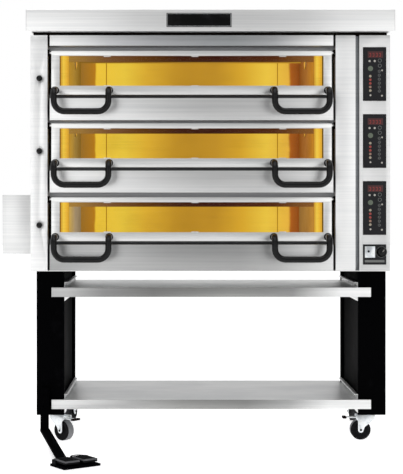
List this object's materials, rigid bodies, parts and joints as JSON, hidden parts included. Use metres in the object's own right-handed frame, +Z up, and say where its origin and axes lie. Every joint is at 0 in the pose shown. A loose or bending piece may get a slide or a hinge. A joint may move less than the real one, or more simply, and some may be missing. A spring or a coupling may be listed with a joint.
{
  "type": "deck oven",
  "caption": "Stacked deck oven with lift-up glazed doors, tube handles, damper knobs and a control column, on a wheeled stand with pull-out shelves and a foot pedal.",
  "frame": {"origin": "on the floor, under the middle of the whole object's outline", "axes": "+Z up, -Y out of the oven's front towards the baker, +X to the right as seen from the front"},
  "size_m": [1.721, 1.5104, 1.863],
  "materials": {
    "stainless_cladding": "fine satin, long grain along each sheet",
    "stainless_shelf": "satin, grain along the shelf",
    "chamber_liner": "bright rolled steel, warmed gold by the lamps",
    "face_frame_steel": "heat-darkened, matte",
    "black_plate": "gloss",
    "black_powder": "fine powder coat, semi-matte",
    "handle_black": "high gloss",
    "hearth_stone": "dry cast stone, fine pores",
    "mineral_wool": "felted",
    "element_sheath": "oxidised tube",
    "lamp_glass": "frosted, lit",
    "door_glass": "clear heat-resistant pane",
    "guide_black": "matte",
    "galvanised": "galvanised sheet",
    "zinc_plate": "bright zinc plate",
    "tyre_rubber": "matte, dusty tread",
    "lever_pad": "matte",
    "pedal_rubber": "ribbed, matte",
    "panel_black": "satin membrane film"
  },
  "bodies": {
    "oven": {"hood_cap": "stainless_cladding", "badge_plate": "black_plate", "left_side_panel": "stainless_cladding", "right_side_panel": "stainless_cladding", "rear_cover": "stainless_cladding", "base_tray": "stainless_cladding", "face_frame": "face_frame_steel", "top_filler": "stainless_cladding", "left_column": "stainless_cladding", "right_column": "stainless_cladding", "control_column": "stainless_cladding", "aprons": "stainless_cladding", "chamber_top": "chamber_liner", "chamber_middle": "chamber_liner", "chamber_bottom": "chamber_liner", "hearth_stones": "hearth_stone", "insulation": "mineral_wool", "heating_elements": "element_sheath", "chamber_lamps": "lamp_glass", "hinge_brackets": "face_frame_steel", "damper_guides": "guide_black", "flue_riser": "galvanised", "control_panels": "panel_black", "switch_plate": "panel_black", "side_box": "stainless_cladding", "power_box": "galvanised", "stand_left": "black_powder", "stand_right": "black_powder", "stand_beams": "black_powder", "shelf_runners": "stainless_shelf", "caster_plates": "zinc_plate", "pedal_frame": "black_powder", "fasteners": "zinc_plate"},
    "door_top": {"door_frame_top": "stainless_cladding", "door_glass_top": "door_glass", "door_handles_top": "handle_black"},
    "door_middle": {"door_frame_middle": "stainless_cladding", "door_glass_middle": "door_glass", "door_handles_middle": "handle_black"},
    "door_bottom": {"door_frame_bottom": "stainless_cladding", "door_glass_bottom": "door_glass", "door_handles_bottom": "handle_black"},
    "damper_top": {"damper_pull_top": "handle_black"},
    "damper_middle": {"damper_pull_middle": "handle_black"},
    "damper_bottom": {"damper_pull_bottom": "handle_black"},
    "power_switch": {"switch_knob": "guide_black"},
    "shelf_upper": {"upper_shelf": "stainless_shelf"},
    "shelf_lower": {"lower_shelf": "stainless_shelf"},
    "swivel_front_left": {"caster_fork_front_left": "zinc_plate"},
    "wheel_front_left": {"caster_wheel_front_left": "tyre_rubber"},
    "swivel_front_right": {"caster_fork_front_right": "zinc_plate"},
    "wheel_front_right": {"caster_wheel_front_right": "tyre_rubber"},
    "swivel_rear_left": {"caster_fork_rear_left": "zinc_plate"},
    "wheel_rear_left": {"caster_wheel_rear_left": "tyre_rubber"},
    "swivel_rear_right": {"caster_fork_rear_right": "zinc_plate"},
    "wheel_rear_right": {"caster_wheel_rear_right": "tyre_rubber"},
    "brake_left": {"brake_lever_left": "lever_pad"},
    "brake_right": {"brake_lever_right": "lever_pad"},
    "pad_left": {"pedal_pad_left": "pedal_rubber"},
    "pad_right": {"pedal_pad_right": "pedal_rubber"}
  },
  "joints": [
    {"name": "door_top_hinge", "type": "hinge", "parent": "oven", "child": "door_top", "pos_m": [-0.008, -0.17481, 1.6825], "axis": [-1, 0, 0], "range_deg": [0, 85]},
    {"name": "door_middle_hinge", "type": "hinge", "parent": "oven", "child": "door_middle", "pos_m": [-0.008, -0.17481, 1.3705], "axis": [-1, 0, 0], "range_deg": [0, 85]},
    {"name": "door_bottom_hinge", "type": "hinge", "parent": "oven", "child": "door_bottom", "pos_m": [-0.008, -0.17481, 1.0525], "axis": [-1, 0, 0], "range_deg": [0, 85]},
    {"name": "damper_top_slide", "type": "slide", "parent": "oven", "child": "damper_top", "axis": [0, -1, 0], "range_m": [0, 0.045]},
    {"name": "damper_middle_slide", "type": "slide", "parent": "oven", "child": "damper_middle", "axis": [0, -1, 0], "range_m": [0, 0.045]},
    {"name": "damper_bottom_slide", "type": "slide", "parent": "oven", "child": "damper_bottom", "axis": [0, -1, 0], "range_m": [0, 0.045]},
    {"name": "power_switch_turn", "type": "hinge", "parent": "oven", "child": "power_switch", "pos_m": [0.8085, -0.18481, 0.826], "axis": [0, -1, 0], "range_deg": [0, 90]},
    {"name": "upper_shelf_slide", "type": "slide", "parent": "oven", "child": "shelf_upper", "axis": [0, -1, 0], "range_m": [0, 0.4]},
    {"name": "lower_shelf_slide", "type": "slide", "parent": "oven", "child": "shelf_lower", "axis": [0, -1, 0], "range_m": [0, 0.4]},
    {"name": "swivel_front_left", "type": "hinge", "parent": "oven", "child": "swivel_front_left", "pos_m": [-0.5935, -0.06281, 0.1], "axis": [0, 0, 1], "continuous": true},
    {"name": "wheel_front_left_spin", "type": "hinge", "parent": "swivel_front_left", "child": "wheel_front_left", "pos_m": [-0.56439, -0.08724, 0.0445], "axis": [0.6428, 0.766, 0], "continuous": true},
    {"name": "swivel_front_right", "type": "hinge", "parent": "oven", "child": "swivel_front_right", "pos_m": [0.7715, -0.06281, 0.1], "axis": [0, 0, 1], "continuous": true},
    {"name": "wheel_front_right_spin", "type": "hinge", "parent": "swivel_front_right", "child": "wheel_front_right", "pos_m": [0.7335, -0.06281, 0.0445], "axis": [0, -1, 0], "continuous": true},
    {"name": "swivel_rear_left", "type": "hinge", "parent": "oven", "child": "swivel_rear_left", "pos_m": [-0.5935, 0.41519, 0.1], "axis": [0, 0, 1], "continuous": true},
    {"name": "wheel_rear_left_spin", "type": "hinge", "parent": "swivel_rear_left", "child": "wheel_rear_left", "pos_m": [-0.5805, 0.45089, 0.0445], "axis": [-0.9397, 0.342, 0], "continuous": true},
    {"name": "swivel_rear_right", "type": "hinge", "parent": "oven", "child": "swivel_rear_right", "pos_m": [0.7715, 0.41519, 0.1], "axis": [0, 0, 1], "continuous": true},
    {"name": "wheel_rear_right_spin", "type": "hinge", "parent": "swivel_rear_right", "child": "wheel_rear_right", "pos_m": [0.77283, 0.45316, 0.0445], "axis": [-0.9994, 0.0349, 0], "continuous": true},
    {"name": "brake_left_press", "type": "hinge", "parent": "swivel_front_left", "child": "brake_left", "pos_m": [-0.5552, -0.09495, 0.097], "axis": [0.6428, 0.766, 0], "range_deg": [0, 10]},
    {"name": "brake_right_press", "type": "hinge", "parent": "swivel_front_right", "child": "brake_right", "pos_m": [0.7215, -0.06281, 0.097], "axis": [0, -1, 0], "range_deg": [0, 10]},
    {"name": "pad_left_press", "type": "hinge", "parent": "oven", "child": "pad_left", "pos_m": [-0.49402, -0.62923, 0.021], "axis": [0.8192, 0.5736, 0], "range_deg": [0, 4], "stiffness_Nm_per_rad": 20, "springref_deg": -2.86},
    {"name": "pad_right_press", "type": "hinge", "parent": "oven", "child": "pad_right", "pos_m": [-0.49402, -0.62923, 0.021], "axis": [0.8192, 0.5736, 0], "range_deg": [0, 4], "stiffness_Nm_per_rad": 20, "springref_deg": -2.86}
  ]
}
